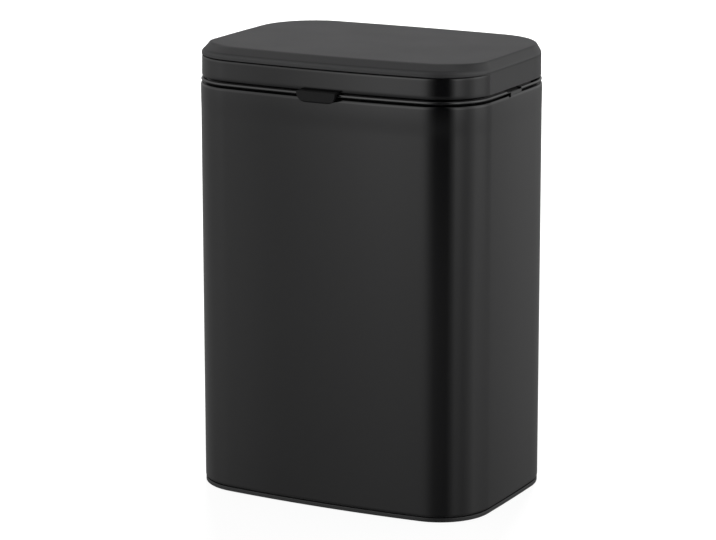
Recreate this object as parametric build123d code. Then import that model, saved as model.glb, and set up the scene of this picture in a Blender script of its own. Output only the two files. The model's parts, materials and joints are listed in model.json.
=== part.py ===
"""Wall-mounted trash can with a soft-closing lid, a lift-out bucket and a wall bracket.

All lengths are in millimetres. The bin is worked out standing at the origin, with its
front towards -Y, its back towards the wall at +Y and its underside at z = 0. place()
then moves every piece so that the origin is the middle of the bracket's screw holes,
on the wall.
"""

import math
import os

from build123d import *

# Overall size of the body in plan, and the bow of each face between its corners
WIDTH = 243.5
DEPTH = 174.8
FRONT_BOW = 7.5
SIDE_BOW = 1.8
REAR_BOW = 4.4
FRONT_CORNER_RADIUS = 42.0
REAR_CORNER_RADIUS = 51.0

# Heights, from the underside up to the lid's flat top
HEIGHT = 348.7
BASE_HEIGHT = 3.4
BASE_GROOVE = 1.0
RIM_GROOVE = 1.8
RIM_THICKNESS = 2.1
LID_GAP = 1.6
LID_HEIGHT = 25.3

# Sheet and wall thicknesses
SHELL_WALL = 1.0
RIM_WALL = 2.2
LID_WALL = 2.6
BUCKET_WALL = 1.8
LINER_WALL = 1.6
BAND_THICKNESS = 1.0

# Clearances
SEAT_GAP = 0.2
PRESS_GAP = 0.02
RUNNING_GAP = 0.05
SNUG_GAP = 0.1
SIDE_GAP = 0.6
LIFT_GAP = 0.3

# How far a cutting shape runs past the faces that it opens
OVERCUT = 1.0

# Shell
HEM_HEIGHT = 8.4
HEM_FLARE = 0.3
HEM_RISE = 10.0
HEM_ROUND = 0.5

# Base ring and bottom plate
BASE_INSET = 0.3
BASE_COLLAR_HEIGHT = 9.0
BASE_RIM = 4.0
BASE_WALL = 3.0
BASE_NECK_INSET = 2.6
BOTTOM_SHEET = 1.0

# Rim frame
BEAD_INSET = 0.2
BEAD_ROUND = 0.7
NECK_INSET = 3.0
REAR_STEP = 10.0
LEDGE_WIDTH = 4.8
UPSTAND_HEIGHT = 4.2
UPSTAND_WALL = 1.4
UPSTAND_END = 35.0
LEDGE_THICKNESS = 2.0
REAR_DECK = 4.0
POCKET_REACH = 30.0
NOTCH_LENGTH = 25.0
NOTCH_DEPTH = 1.2
LUG_LENGTH = 19.0
KEY_WIDTH = 3.6
KEY_DEPTH = 1.1
BUFFER_ANGLE = 45.0
BUFFER_RADIUS = 1.2

# Lid
LID_INSET = 0.8
LID_ROUND = 9.1
BAND_HEIGHT = 15.3
BAND_LINE = 0.9
BAND_END = 44.0
LINER_DEPTH = 7.2
LINER_SIDE_GAP = 1.7
LINER_SCREW_X = 84.0
LINER_SCREW_REAR_Y = 34.0
LINER_SCREW_FRONT_Y = -44.0
LINER_SCREW_RADIUS = 1.5
LINER_SCREW_HEAD = 3.0
LINER_SCREW_LENGTH = 4.4
LINER_BOSS_RADIUS = 3.6

# Finger tab
TAB_WIDTH = 32.5
TAB_DROP = 8.6
TAB_REACH = 3.6
TAB_TOP_REACH = 4.2
TAB_BACK_GAP = 1.0
TAB_TONGUE = 1.3
TAB_LEG_HEIGHT = 9.6
TAB_LEG = 2.0
TAB_CORNER = 7.4
TAB_SCREW_X = 9.0
TAB_SCREW_EDGE = 3.8
TAB_SCREW_RADIUS = 1.1
TAB_SCREW_HEAD = 2.2
TAB_SCREW_HEAD_HEIGHT = 1.3

# Hinge at the back of the lid
HINGE_BACK = 6.0
HINGE_UP = 11.6
PIN_RADIUS = 2.0
BARREL_RADIUS = 5.5
EAR_RADIUS = 5.8
HOUSING_WIDTH = 90.0
HOUSING_FOOT = 2.4
WEB_FRONT = 5.5
WEB_REAR = 1.5
REAR_WALL_HEIGHT = 4.0
EAR_GAP = 0.6
EAR_THICKNESS = 5.0
BUSH_RADIUS = 3.5
PIN_START = 15.0
PIN_HEAD_RADIUS = 3.2
PIN_HEAD = 1.4
DAMPER_RADIUS = 4.0
DAMPER_LENGTH = 29.0
ROTOR_DEPTH = 16.0
ROTOR_SQUARE = 5.0
WINDOW_MARGIN = 2.6
WINDOW_UP = 6.0
LINER_REAR_CUT = 12.0
HOUSING_SCREW_X = 30.0
HOUSING_SCREW_RADIUS = 1.5
HOUSING_SCREW_HEAD = 2.8
HOUSING_SCREW_HEAD_HEIGHT = 1.8
HOUSING_SCREW_LENGTH = 9.0

# Bucket and its bail handle
BUCKET_RECESS = 19.8
BUCKET_FLANGE = 2.0
BUCKET_BOTTOM_GAP = 3.6
BUCKET_NECK_GAP = 1.2
BUCKET_TAPER = 6.6
PIVOT_Y = -4.0
EAR_LENGTH = 18.0
BUCKET_EAR = 3.6
BUCKET_EAR_ROUND = 6.0
BAIL_RADIUS = 2.0
BAIL_FRONT_INSET = 13.0
BAIL_BEND = 3.2
BAIL_CORNER = 40.0
BAIL_END_RECESS = 0.5
GRIP_RADIUS = 4.5
GRIP_LENGTH = 84.0
GRIP_ROUND = 1.2

# Wall bracket, hanger and bumpers
STANDOFF = 10.0
BRACKET_DROP = 98.7
BRACKET_WIDTH = 100.0
BRACKET_HEIGHT = 76.0
BRACKET_SHEET = 2.0
BRACKET_CORNER = 8.0
SCREW_SPACING_X = 76.0
SCREW_SPACING_Z = 56.0
SCREW_HOLE_RADIUS = 2.6
HOOK_X = 25.0
HOOK_WIDTH = 20.0
HOOK_RISE = 18.0
HANGER_WIDTH = 96.0
HANGER_HEIGHT = 44.0
HANGER_SHEET = 2.0
HANGER_RISE = 10.0
HANGER_CORNER = 6.0
LOOP_SHEET = 1.0
LOOP_SIDE = 2.0
LOOP_SIDE_GAP = 1.0
LOOP_DROP = 14.0
RIVET_EDGE_X = 5.6
RIVET_EDGE_Z = 6.0
RIVET_RADIUS = 2.0
RIVET_HEAD_RADIUS = 3.2
RIVET_HEAD = 1.4
BUMPER_X = 75.0
BUMPER_Z = 35.0
BUMPER_RADIUS = 9.0
BUMPER_WALL_GAP = 0.3
BUMPER_ROUND = 1.5

# Places that follow from the sizes above
FRONT_Y = -DEPTH / 2
BACK_Y = DEPTH / 2
WALL_Y = BACK_Y + STANDOFF
BRACKET_Z = HEIGHT - BRACKET_DROP
SHELL_BOTTOM = BASE_HEIGHT + BASE_GROOVE
LID_TOP = HEIGHT
LID_BOTTOM = LID_TOP - LID_HEIGHT
RIM_TOP = LID_BOTTOM - LID_GAP
RIM_BOTTOM = RIM_TOP - RIM_THICKNESS
DECK_BOTTOM = RIM_TOP - REAR_DECK
SHELL_TOP = RIM_BOTTOM - RIM_GROOVE
BAND_TOP = LID_BOTTOM + BAND_HEIGHT
LINER_UNDERSIDE = LID_TOP - LINER_DEPTH
LID_INNER_INSET = LID_INSET + LID_WALL
SLEEVE_INSET = SHELL_WALL + SNUG_GAP
UPSTAND_INSET = LID_INNER_INSET + SIDE_GAP
MOUTH_INSET = UPSTAND_INSET + UPSTAND_WALL
BUCKET_TOP = RIM_TOP - BUCKET_RECESS
BUCKET_BOTTOM = BASE_HEIGHT + BOTTOM_SHEET + BUCKET_BOTTOM_GAP
LEDGE_TOP = BUCKET_TOP - BUCKET_FLANGE - SEAT_GAP
LEDGE_BOTTOM = LEDGE_TOP - LEDGE_THICKNESS
LEDGE_INSET = MOUTH_INSET + LEDGE_WIDTH
LUG_END = PIVOT_Y + NOTCH_LENGTH / 2
LUG_START = LUG_END - LUG_LENGTH
FLANGE_INSET = MOUTH_INSET + SIDE_GAP
BUCKET_NECK_INSET = LEDGE_INSET + BUCKET_NECK_GAP
LINER_TOP = LINER_UNDERSIDE + LINER_WALL
INNER_ROUND = LID_ROUND - LID_WALL
LINER_RISE = max(0.0, LINER_TOP - LID_TOP + LID_ROUND)
ROUND_INSET = INNER_ROUND - math.sqrt(INNER_ROUND**2 - LINER_RISE**2)
LINER_INSET = LID_INNER_INSET + ROUND_INSET + LINER_SIDE_GAP
HINGE_Y = BACK_Y - LID_INSET - HINGE_BACK
HINGE_Z = LID_BOTTOM + HINGE_UP
PIVOT_Z = BUCKET_TOP + LIFT_GAP + GRIP_RADIUS
EAR_START = HOUSING_WIDTH / 2 + EAR_GAP
EAR_END = EAR_START + EAR_THICKNESS
WINDOW_HALF = EAR_END + WINDOW_MARGIN
HANGER_Y = BACK_Y + HANGER_SHEET
BRACKET_Y = WALL_Y - BRACKET_SHEET
LOOP_Y = BRACKET_Y - LIFT_GAP
HOOK_Y = LOOP_Y - LOOP_SHEET - LIFT_GAP
HOOK_TOP = BRACKET_Z + HOOK_RISE - BRACKET_SHEET
HALF_WIDTH = WIDTH / 2
BUCKET_EAR_X = HALF_WIDTH - FLANGE_INSET - SEAT_GAP
BAIL_SIDE_X = BUCKET_EAR_X - BUCKET_EAR - LIFT_GAP - BAIL_BEND
BAIL_FRONT_Y = FRONT_Y + BAIL_FRONT_INSET
BAIL_END_X = BUCKET_EAR_X - BAIL_END_RECESS
RIVET_X = HANGER_WIDTH / 2 - RIVET_EDGE_X


def arc_radius(half_span, bow):
    """Radius of the arc that rises by bow over twice half_span."""
    return (half_span**2 + bow**2) / (2 * bow)


def corner_centre(face_x, face_y, face_radius, side_x, side_radius, towards):
    """Centre of a corner arc: the point at face_radius from the face arc's centre and
    at side_radius from the side arc's centre, towards the front (-1) or back (+1)."""
    dx = side_x - face_x
    dy = -face_y
    span = math.hypot(dx, dy)
    along = (face_radius**2 - side_radius**2 + span**2) / (2 * span)
    across = math.sqrt(face_radius**2 - along**2)
    middle_x = face_x + along * dx / span
    middle_y = face_y + along * dy / span
    points = []
    for sign in (-1, 1):
        x = middle_x - sign * across * dy / span
        y = middle_y + sign * across * dx / span
        points.append((x, y))
    return max(points, key=lambda p: (p[0] > 0, towards * p[1]))


def rear_corner_centre(rear_step=0.0):
    """Centre of the arc of the right rear corner."""
    side_r = arc_radius(DEPTH / 2, SIDE_BOW)
    rear_r = arc_radius(HALF_WIDTH, REAR_BOW)
    return corner_centre(
        0, BACK_Y - rear_step - rear_r, rear_r - REAR_CORNER_RADIUS,
        HALF_WIDTH - side_r, side_r - REAR_CORNER_RADIUS, 1,
    )


def outline(inset=0.0, rear_step=0.0):
    """Plan of the bin as a face of eight tangent arcs, inset by the given distance, with
    the rear face rear_step further forward."""
    front_r = arc_radius(HALF_WIDTH, FRONT_BOW)
    side_r = arc_radius(DEPTH / 2, SIDE_BOW)
    rear_r = arc_radius(HALF_WIDTH, REAR_BOW)
    front_y = FRONT_Y + front_r
    rear_y = BACK_Y - rear_step - rear_r
    side_x = HALF_WIDTH - side_r
    fx, fy = corner_centre(
        0, front_y, front_r - FRONT_CORNER_RADIUS, side_x, side_r - FRONT_CORNER_RADIUS, -1
    )
    rx, ry = rear_corner_centre(rear_step)
    front_end = math.degrees(math.atan2(fy - front_y, fx))
    side_start = math.degrees(math.atan2(fy, fx - side_x))
    side_end = math.degrees(math.atan2(ry, rx - side_x))
    rear_start = math.degrees(math.atan2(ry - rear_y, rx))
    front_corner = FRONT_CORNER_RADIUS - inset
    rear_corner = REAR_CORNER_RADIUS - inset
    arcs = [
        CenterArc((0, front_y), front_r - inset, -180 - front_end, 180 + 2 * front_end),
        CenterArc((fx, fy), front_corner, front_end, side_start - front_end),
        CenterArc((side_x, 0), side_r - inset, side_start, side_end - side_start),
        CenterArc((rx, ry), rear_corner, side_end, rear_start - side_end),
        CenterArc((0, rear_y), rear_r - inset, rear_start, 180 - 2 * rear_start),
        CenterArc((-rx, ry), rear_corner, 180 - rear_start, rear_start - side_end),
        CenterArc((-side_x, 0), side_r - inset, 180 - side_end, side_end - side_start),
        CenterArc((-fx, fy), front_corner, 180 - side_start, side_start - front_end),
    ]
    return make_face(arcs)


def prism(inset, low, high, rear_step=0.0):
    """The plan, inset, as a solid between two levels."""
    return extrude(Pos(0, 0, low) * outline(inset, rear_step), amount=high - low)


def flared(low_inset, low, high_inset, high, rear_step=0.0):
    """The plan as a solid whose inset changes evenly from one level to the other."""
    sections = [
        Pos(0, 0, low) * outline(low_inset, rear_step),
        Pos(0, 0, high) * outline(high_inset, rear_step),
    ]
    return loft(sections, ruled=True)


def block(x0, x1, y0, y1, z0, z1):
    """A box between two corners."""
    middle = Pos((x0 + x1) / 2, (y0 + y1) / 2, (z0 + z1) / 2)
    return middle * Box(x1 - x0, y1 - y0, z1 - z0)


def rod_x(radius, x0, x1, y, z):
    """A round bar along X."""
    return Pos((x0 + x1) / 2, y, z) * Rot(0, 90, 0) * Cylinder(radius, x1 - x0)


def rod_y(radius, x, y0, y1, z):
    """A round bar along Y."""
    return Pos(x, (y0 + y1) / 2, z) * Rot(90, 0, 0) * Cylinder(radius, y1 - y0)


def rod_z(radius, x, y, z0, z1):
    """A round bar along Z."""
    return Pos(x, y, (z0 + z1) / 2) * Cylinder(radius, z1 - z0)


def mirrored(shape):
    """A shape and its mirror image on the other side of the bin."""
    return shape + mirror(shape, Plane.YZ)


def rear_surface(x):
    """Y of the shell's back at a distance x from the middle."""
    radius = arc_radius(HALF_WIDTH, REAR_BOW)
    return BACK_Y - radius + math.sqrt(radius**2 - x**2)


def front_surface(x, inset):
    """Y of the front face, inset, at a distance x from the middle."""
    radius = arc_radius(HALF_WIDTH, FRONT_BOW)
    return FRONT_Y + radius - math.sqrt((radius - inset) ** 2 - x**2)


def top_edges(shape):
    """The outline of a shape's highest face."""
    return shape.faces().sort_by(Axis.Z)[-1].outer_wire().edges()


def body_shell():
    """Painted steel sleeve, with its hemmed and slightly flared upper edge."""
    hem_bottom = SHELL_TOP - HEM_HEIGHT
    outer = prism(0, SHELL_BOTTOM, hem_bottom - HEM_RISE)
    outer += flared(0, hem_bottom - HEM_RISE, -HEM_FLARE, hem_bottom)
    outer += prism(-HEM_FLARE, hem_bottom, SHELL_TOP)
    shell = outer - prism(SHELL_WALL, SHELL_BOTTOM - OVERCUT, SHELL_TOP + OVERCUT)
    shell = fillet(top_edges(shell), HEM_ROUND)
    key = block(
        HALF_WIDTH - 2 * SLEEVE_INSET, HALF_WIDTH + HEM_FLARE + OVERCUT,
        LUG_START - KEY_WIDTH, LUG_START, SHELL_TOP - KEY_DEPTH, SHELL_TOP + OVERCUT,
    )
    return shell - mirrored(key) - rivet_holes()


def base_ring():
    """Plastic ring under the shell, with the collar that fills the shell's lower end."""
    ring = prism(BASE_INSET, 0, BASE_HEIGHT)
    ring = fillet(ring.edges().group_by(Axis.Z)[0], BASE_INSET)
    ring += prism(BASE_NECK_INSET, BASE_HEIGHT, SHELL_BOTTOM)
    ring += prism(SLEEVE_INSET, SHELL_BOTTOM, SHELL_BOTTOM + BASE_COLLAR_HEIGHT)
    inner = SLEEVE_INSET + BASE_WALL
    ring -= prism(inner, BASE_HEIGHT, SHELL_BOTTOM + BASE_COLLAR_HEIGHT + OVERCUT)
    return ring - prism(inner + BASE_RIM, -OVERCUT, BASE_HEIGHT + OVERCUT)


def bottom_plate():
    """Steel floor that lies in the base ring."""
    return prism(SLEEVE_INSET + BASE_WALL + SNUG_GAP, BASE_HEIGHT, BASE_HEIGHT + BOTTOM_SHEET)


def upstand():
    """Low wall on the rim, inside the lid's skirt, that keeps the gap under the lid dark."""
    top = RIM_TOP + UPSTAND_HEIGHT
    wall = prism(UPSTAND_INSET, RIM_BOTTOM, top)
    wall -= prism(MOUTH_INSET, RIM_BOTTOM - OVERCUT, top + OVERCUT)
    wall &= block(-HALF_WIDTH, HALF_WIDTH, FRONT_Y, UPSTAND_END, RIM_BOTTOM, top)
    half = TAB_WIDTH / 2 + SIDE_GAP
    return wall - block(-half, half, FRONT_Y, 0, RIM_TOP, top + OVERCUT)


def rear_pocket():
    """Room behind the rim's mouth, open below, that the hinge's screws are driven from."""
    low = LEDGE_BOTTOM - OVERCUT
    pocket = prism(SLEEVE_INSET + RIM_WALL, low, DECK_BOTTOM)
    inner_wall = MOUTH_INSET - RIM_WALL
    pocket -= prism(inner_wall, low - OVERCUT, DECK_BOTTOM + OVERCUT, REAR_STEP)
    return pocket & block(-HALF_WIDTH, HALF_WIDTH, BACK_Y - POCKET_REACH, BACK_Y, 0, RIM_TOP)


def bucket_ring():
    """Flat plastic ring under the rim's sleeve, whose inner edge carries the bucket."""
    ring = prism(SLEEVE_INSET, LEDGE_BOTTOM, LEDGE_TOP)
    ring -= prism(LEDGE_INSET, LEDGE_BOTTOM - OVERCUT, LEDGE_TOP + OVERCUT, REAR_STEP)
    return ring - rear_pocket()


def side_notch():
    """Low place in the bead, in the middle of the right side."""
    notch = block(
        HALF_WIDTH - LEDGE_INSET, HALF_WIDTH + OVERCUT,
        LUG_END - NOTCH_LENGTH, LUG_END, RIM_TOP - NOTCH_DEPTH, RIM_TOP + OVERCUT,
    )
    return notch - prism(UPSTAND_INSET, SHELL_TOP, RIM_TOP + 2 * OVERCUT)


def side_lug():
    """Lug that fills the groove under the bead's low place and stands on the shell."""
    lug = prism(BEAD_INSET, SHELL_TOP, RIM_BOTTOM + BEAD_ROUND)
    return lug & block(0, HALF_WIDTH, LUG_START, LUG_END, SHELL_TOP, RIM_BOTTOM + BEAD_ROUND)


def rim_frame():
    """Plastic rim: bead, neck, upstand and sleeve inside the shell."""
    bead = prism(BEAD_INSET, RIM_BOTTOM, RIM_TOP)
    bead = fillet(bead.edges().group_by(Axis.Z)[-1] + bead.edges().group_by(Axis.Z)[0], BEAD_ROUND)
    frame = bead + prism(NECK_INSET, SHELL_TOP, RIM_BOTTOM) + mirrored(side_lug())
    frame += upstand()
    frame += prism(SLEEVE_INSET, LEDGE_TOP, SHELL_TOP)
    mouth_top = RIM_TOP + UPSTAND_HEIGHT + OVERCUT
    frame -= prism(MOUTH_INSET, LEDGE_TOP - OVERCUT, mouth_top, REAR_STEP)
    frame -= rear_pocket()
    frame -= mirrored(side_notch())
    key = block(
        HALF_WIDTH - SLEEVE_INSET - RIM_WALL / 2, HALF_WIDTH - BEAD_INSET - SHELL_WALL / 2,
        LUG_START - KEY_WIDTH + PRESS_GAP, LUG_START - PRESS_GAP,
        SHELL_TOP - KEY_DEPTH + PRESS_GAP, SHELL_TOP,
    )
    frame += mirrored(key)
    for x, y in housing_screw_places():
        frame -= rod_z(HOUSING_SCREW_RADIUS + PRESS_GAP, x, y, LEDGE_TOP, RIM_TOP + OVERCUT)
    return frame


def lid_buffers():
    """Small rubber buttons on the bead's rear corners that the closed lid comes down on."""
    rx, ry = rear_corner_centre()
    reach = REAR_CORNER_RADIUS - (LID_INSET + LID_INNER_INSET) / 2
    angle = math.radians(BUFFER_ANGLE)
    x, y = rx + reach * math.cos(angle), ry + reach * math.sin(angle)
    return mirrored(rod_z(BUFFER_RADIUS, x, y, RIM_TOP, LID_BOTTOM - SEAT_GAP))


def housing_screw_places():
    """Where the two screws of the hinge housing stand."""
    y = HINGE_Y - (WEB_FRONT - WEB_REAR) / 2
    return [(-HOUSING_SCREW_X, y), (HOUSING_SCREW_X, y)]


def hinge_housing():
    """Fixed half of the hinge: foot on the rim, web and barrel round the axis."""
    half = HOUSING_WIDTH / 2
    foot = block(
        -half, half, HINGE_Y - WEB_FRONT, HINGE_Y + HINGE_BACK, RIM_TOP, RIM_TOP + HOUSING_FOOT
    )
    web = block(-half, half, HINGE_Y - WEB_FRONT, HINGE_Y + WEB_REAR, RIM_TOP, HINGE_Z)
    wall = block(
        -half, half, HINGE_Y + HINGE_BACK - RIM_WALL, HINGE_Y + HINGE_BACK,
        RIM_TOP, RIM_TOP + HOUSING_FOOT + REAR_WALL_HEIGHT,
    )
    housing = foot + web + wall + rod_x(BARREL_RADIUS, -half, half, HINGE_Y, HINGE_Z)
    housing &= prism(LID_INSET, RIM_TOP, LID_TOP)
    housing -= rod_x(PIN_RADIUS + PRESS_GAP, PIN_START, half + OVERCUT, HINGE_Y, HINGE_Z)
    damper_end = DAMPER_LENGTH - half
    housing -= rod_x(DAMPER_RADIUS + PRESS_GAP, -half - OVERCUT, damper_end, HINGE_Y, HINGE_Z)
    for x, y in housing_screw_places():
        depth = DECK_BOTTOM + HOUSING_SCREW_LENGTH + PRESS_GAP
        housing -= rod_z(HOUSING_SCREW_RADIUS + PRESS_GAP, x, y, RIM_TOP - OVERCUT, depth)
    return housing


def housing_screws():
    """Two screws that come up through the rim into the hinge housing."""
    screws = []
    for x, y in housing_screw_places():
        screw = rod_z(HOUSING_SCREW_RADIUS, x, y, DECK_BOTTOM, DECK_BOTTOM + HOUSING_SCREW_LENGTH)
        screw += rod_z(
            HOUSING_SCREW_HEAD, x, y, DECK_BOTTOM - HOUSING_SCREW_HEAD_HEIGHT, DECK_BOTTOM
        )
        screws.append(screw)
    return Compound(children=screws)


def hinge_pin():
    """Steel pin of the right hinge ear, with its head outside the ear."""
    head_start = EAR_END + LIFT_GAP
    pin = rod_x(PIN_RADIUS, PIN_START, head_start + PIN_HEAD, HINGE_Y, HINGE_Z)
    return pin + rod_x(PIN_HEAD_RADIUS, head_start, head_start + PIN_HEAD, HINGE_Y, HINGE_Z)


def hinge_bush():
    """Plastic bush pressed into the right hinge ear, running on the pin."""
    bush = rod_x(BUSH_RADIUS, EAR_START, EAR_END, HINGE_Y, HINGE_Z)
    return bush - rod_x(
        PIN_RADIUS + RUNNING_GAP, EAR_START - OVERCUT, EAR_END + OVERCUT, HINGE_Y, HINGE_Z
    )


def damper_body():
    """Oil-filled cartridge in the left end of the barrel that slows the lid."""
    half = HOUSING_WIDTH / 2
    case = rod_x(DAMPER_RADIUS, -half, DAMPER_LENGTH - half - SEAT_GAP, HINGE_Y, HINGE_Z)
    bore_end = ROTOR_DEPTH + LIFT_GAP - half
    return case - rod_x(PIN_RADIUS + RUNNING_GAP, -half - OVERCUT, bore_end, HINGE_Y, HINGE_Z)


def damper_rotor():
    """Shaft that turns with the lid in the damper, square where the left ear drives it."""
    half = HOUSING_WIDTH / 2
    rotor = rod_x(PIN_RADIUS, -EAR_END - SEAT_GAP, ROTOR_DEPTH - half, HINGE_Y, HINGE_Z)
    side = ROTOR_SQUARE / 2
    return rotor + block(
        -EAR_END - SEAT_GAP, -EAR_START, HINGE_Y - side, HINGE_Y + side, HINGE_Z - side, HINGE_Z + side
    )


def lid_form(wall, bottom):
    """Solid of the lid, rounded all round its top, with a wall taken off its outside."""
    form = prism(LID_INSET + wall, bottom, LID_TOP - wall)
    return fillet(top_edges(form), LID_ROUND - wall)


def band_space(thickness, low, high, end):
    """Crescent round the front of the lid: the lid's plan less the same plan moved back,
    so its depth is full at the front and runs out round the corners."""
    crescent = prism(LID_INSET, low, high)
    crescent -= Pos(0, thickness, 0) * prism(LID_INSET, low - OVERCUT, high + OVERCUT)
    return crescent & block(-WIDTH, WIDTH, -DEPTH, -end, low, high)


def liner_screw_places():
    """Where the four liner screws stand."""
    return [
        (x, y)
        for x in (-LINER_SCREW_X, LINER_SCREW_X)
        for y in (LINER_SCREW_FRONT_Y, LINER_SCREW_REAR_Y)
    ]


def lid_shell():
    """Moulded outer lid: hollow, rounded round the top, recessed for the metal band."""
    lid = lid_form(0, LID_BOTTOM)
    hollow = lid_form(LID_WALL, LID_BOTTOM - OVERCUT)
    for x, y in liner_screw_places():
        hollow -= rod_z(LINER_BOSS_RADIUS, x, y, LINER_TOP, LID_TOP)
    lid -= hollow
    lid -= band_space(BAND_THICKNESS, LID_BOTTOM - OVERCUT, BAND_TOP + BAND_LINE, BAND_END)
    lid -= block(
        -WINDOW_HALF, WINDOW_HALF, BACK_Y - LID_INNER_INSET - LID_ROUND, BACK_Y,
        LID_BOTTOM - OVERCUT, HINGE_Z + WINDOW_UP,
    )
    for x, y in liner_screw_places():
        top = LINER_UNDERSIDE + LINER_SCREW_LENGTH + PRESS_GAP
        lid -= rod_z(LINER_SCREW_RADIUS + PRESS_GAP, x, y, LINER_TOP - OVERCUT, top)
    inside = front_surface(0, LID_INNER_INSET) + OVERCUT
    for x in (-TAB_SCREW_X, TAB_SCREW_X):
        lid -= rod_y(TAB_SCREW_RADIUS + PRESS_GAP, x, FRONT_Y, inside, tab_screw_z())
    return lid


def lid_band():
    """Painted steel band let into the front of the lid."""
    return band_space(BAND_THICKNESS, LID_BOTTOM, BAND_TOP, BAND_END)


def lid_liner():
    """Inner panel of the lid, with the two ears that carry the lid on the hinge."""
    liner = prism(LINER_INSET, LINER_UNDERSIDE, LINER_TOP)
    liner -= block(
        -WINDOW_HALF, WINDOW_HALF, HINGE_Y - LINER_REAR_CUT, BACK_Y,
        LINER_UNDERSIDE - OVERCUT, LINER_TOP + OVERCUT,
    )
    for side in (-1, 1):
        x0, x1 = sorted((side * EAR_START, side * EAR_END))
        arm = block(
            x0, x1, HINGE_Y - LINER_REAR_CUT - EAR_RADIUS, HINGE_Y, HINGE_Z - EAR_RADIUS / 2, LINER_TOP
        )
        liner += arm + rod_x(EAR_RADIUS, x0, x1, HINGE_Y, HINGE_Z)
    liner -= rod_x(
        BUSH_RADIUS + PRESS_GAP, EAR_START - OVERCUT, EAR_END + OVERCUT, HINGE_Y, HINGE_Z
    )
    hole = ROTOR_SQUARE / 2 + PRESS_GAP
    liner -= block(
        -EAR_END - OVERCUT, -EAR_START + OVERCUT,
        HINGE_Y - hole, HINGE_Y + hole, HINGE_Z - hole, HINGE_Z + hole,
    )
    for x, y in liner_screw_places():
        liner -= liner_screw(x, y, PRESS_GAP)
    return liner


def liner_screw(x, y, gap):
    """Countersunk screw, or with a gap the hole that it stands in."""
    head = LINER_SCREW_HEAD - LINER_SCREW_RADIUS
    cone = Cone(LINER_SCREW_HEAD + gap, LINER_SCREW_RADIUS + gap, head)
    shank = rod_z(
        LINER_SCREW_RADIUS + gap, x, y, LINER_UNDERSIDE + head, LINER_UNDERSIDE + LINER_SCREW_LENGTH
    )
    return Pos(x, y, LINER_UNDERSIDE + head / 2) * cone + shank


def liner_screws():
    """Four screws that hold the liner under the lid."""
    return Compound(children=[liner_screw(x, y, 0) for x, y in liner_screw_places()])


def tab_screw_z():
    """Level of the finger tab's two screws."""
    return LID_BOTTOM + TAB_LEG_HEIGHT - TAB_SCREW_EDGE


def tab_leg_y():
    """Front face of the tab's leg, against the inside of the lid's front wall."""
    return front_surface(TAB_WIDTH / 2, LID_INNER_INSET) + SNUG_GAP


def finger_tab():
    """Tab under the lid's front edge: a lip to lift by, a tongue and a leg inside the lid."""
    back = FRONT_Y - HEM_FLARE - TAB_BACK_GAP
    leg_y = tab_leg_y()
    tongue = LID_BOTTOM - TAB_TONGUE
    with BuildPart() as tab:
        with BuildSketch(Plane.YZ.offset(-TAB_WIDTH / 2)):
            with BuildLine():
                Polyline(
                    (leg_y + TAB_LEG, tongue),
                    (leg_y + TAB_LEG, LID_BOTTOM + TAB_LEG_HEIGHT),
                    (leg_y, LID_BOTTOM + TAB_LEG_HEIGHT),
                    (leg_y, LID_BOTTOM),
                    (back - TAB_TOP_REACH, LID_BOTTOM),
                    (back - TAB_REACH, LID_BOTTOM - TAB_DROP + TAB_TONGUE),
                    (back - TAB_REACH + TAB_TONGUE, LID_BOTTOM - TAB_DROP),
                    (back - TAB_TONGUE, LID_BOTTOM - TAB_DROP),
                    (back, LID_BOTTOM - TAB_DROP + TAB_TONGUE),
                    (back, tongue),
                    close=True,
                )
            make_face()
        extrude(amount=TAB_WIDTH)
    body = tab.part
    for side in (-1, 1):
        x = side * TAB_WIDTH / 2
        low = LID_BOTTOM - TAB_DROP
        middle = x - side * TAB_CORNER
        x0, x1 = sorted((x, middle))
        front = back - TAB_REACH - OVERCUT
        corner = block(x0, x1, front, back + OVERCUT, low - OVERCUT, low + TAB_CORNER)
        corner -= rod_y(TAB_CORNER, middle, front - OVERCUT, back + 2 * OVERCUT, low + TAB_CORNER)
        body -= corner
    for x in (-TAB_SCREW_X, TAB_SCREW_X):
        body -= rod_y(
            TAB_SCREW_RADIUS + PRESS_GAP, x, leg_y - OVERCUT, leg_y + TAB_LEG + OVERCUT, tab_screw_z()
        )
    return body


def tab_screws():
    """Two small screws that hold the finger tab to the lid's front wall."""
    screws = []
    seat = tab_leg_y() + TAB_LEG
    tip = FRONT_Y + LID_INSET + BAND_THICKNESS + SEAT_GAP
    for x in (-TAB_SCREW_X, TAB_SCREW_X):
        screw = rod_y(TAB_SCREW_RADIUS, x, tip, seat, tab_screw_z())
        screw += rod_y(TAB_SCREW_HEAD, x, seat, seat + TAB_SCREW_HEAD_HEIGHT, tab_screw_z())
        screws.append(screw)
    return Compound(children=screws)


def inner_bucket():
    """Tapered plastic bucket that hangs by its flange, with an ear for the bail each side."""
    low_inset = BUCKET_NECK_INSET + BUCKET_TAPER
    bucket = flared(low_inset, BUCKET_BOTTOM, BUCKET_NECK_INSET, BUCKET_TOP, REAR_STEP)
    bucket += prism(FLANGE_INSET, BUCKET_TOP - BUCKET_FLANGE, BUCKET_TOP, REAR_STEP)
    ear = block(
        BUCKET_EAR_X - BUCKET_EAR, BUCKET_EAR_X, PIVOT_Y - EAR_LENGTH / 2, PIVOT_Y + EAR_LENGTH / 2,
        BUCKET_TOP - BUCKET_FLANGE, RIM_TOP - SEAT_GAP,
    )
    ear = fillet(ear.edges().filter_by(Axis.X).group_by(Axis.Z)[-1], BUCKET_EAR_ROUND)
    bucket += mirrored(ear)
    hollow = flared(
        low_inset + BUCKET_WALL, BUCKET_BOTTOM + BUCKET_WALL, BUCKET_NECK_INSET + BUCKET_WALL,
        BUCKET_TOP + OVERCUT, REAR_STEP,
    )
    bucket -= hollow
    return bucket - rod_x(BAIL_RADIUS + RUNNING_GAP, -WIDTH, WIDTH, PIVOT_Y, PIVOT_Z)


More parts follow.
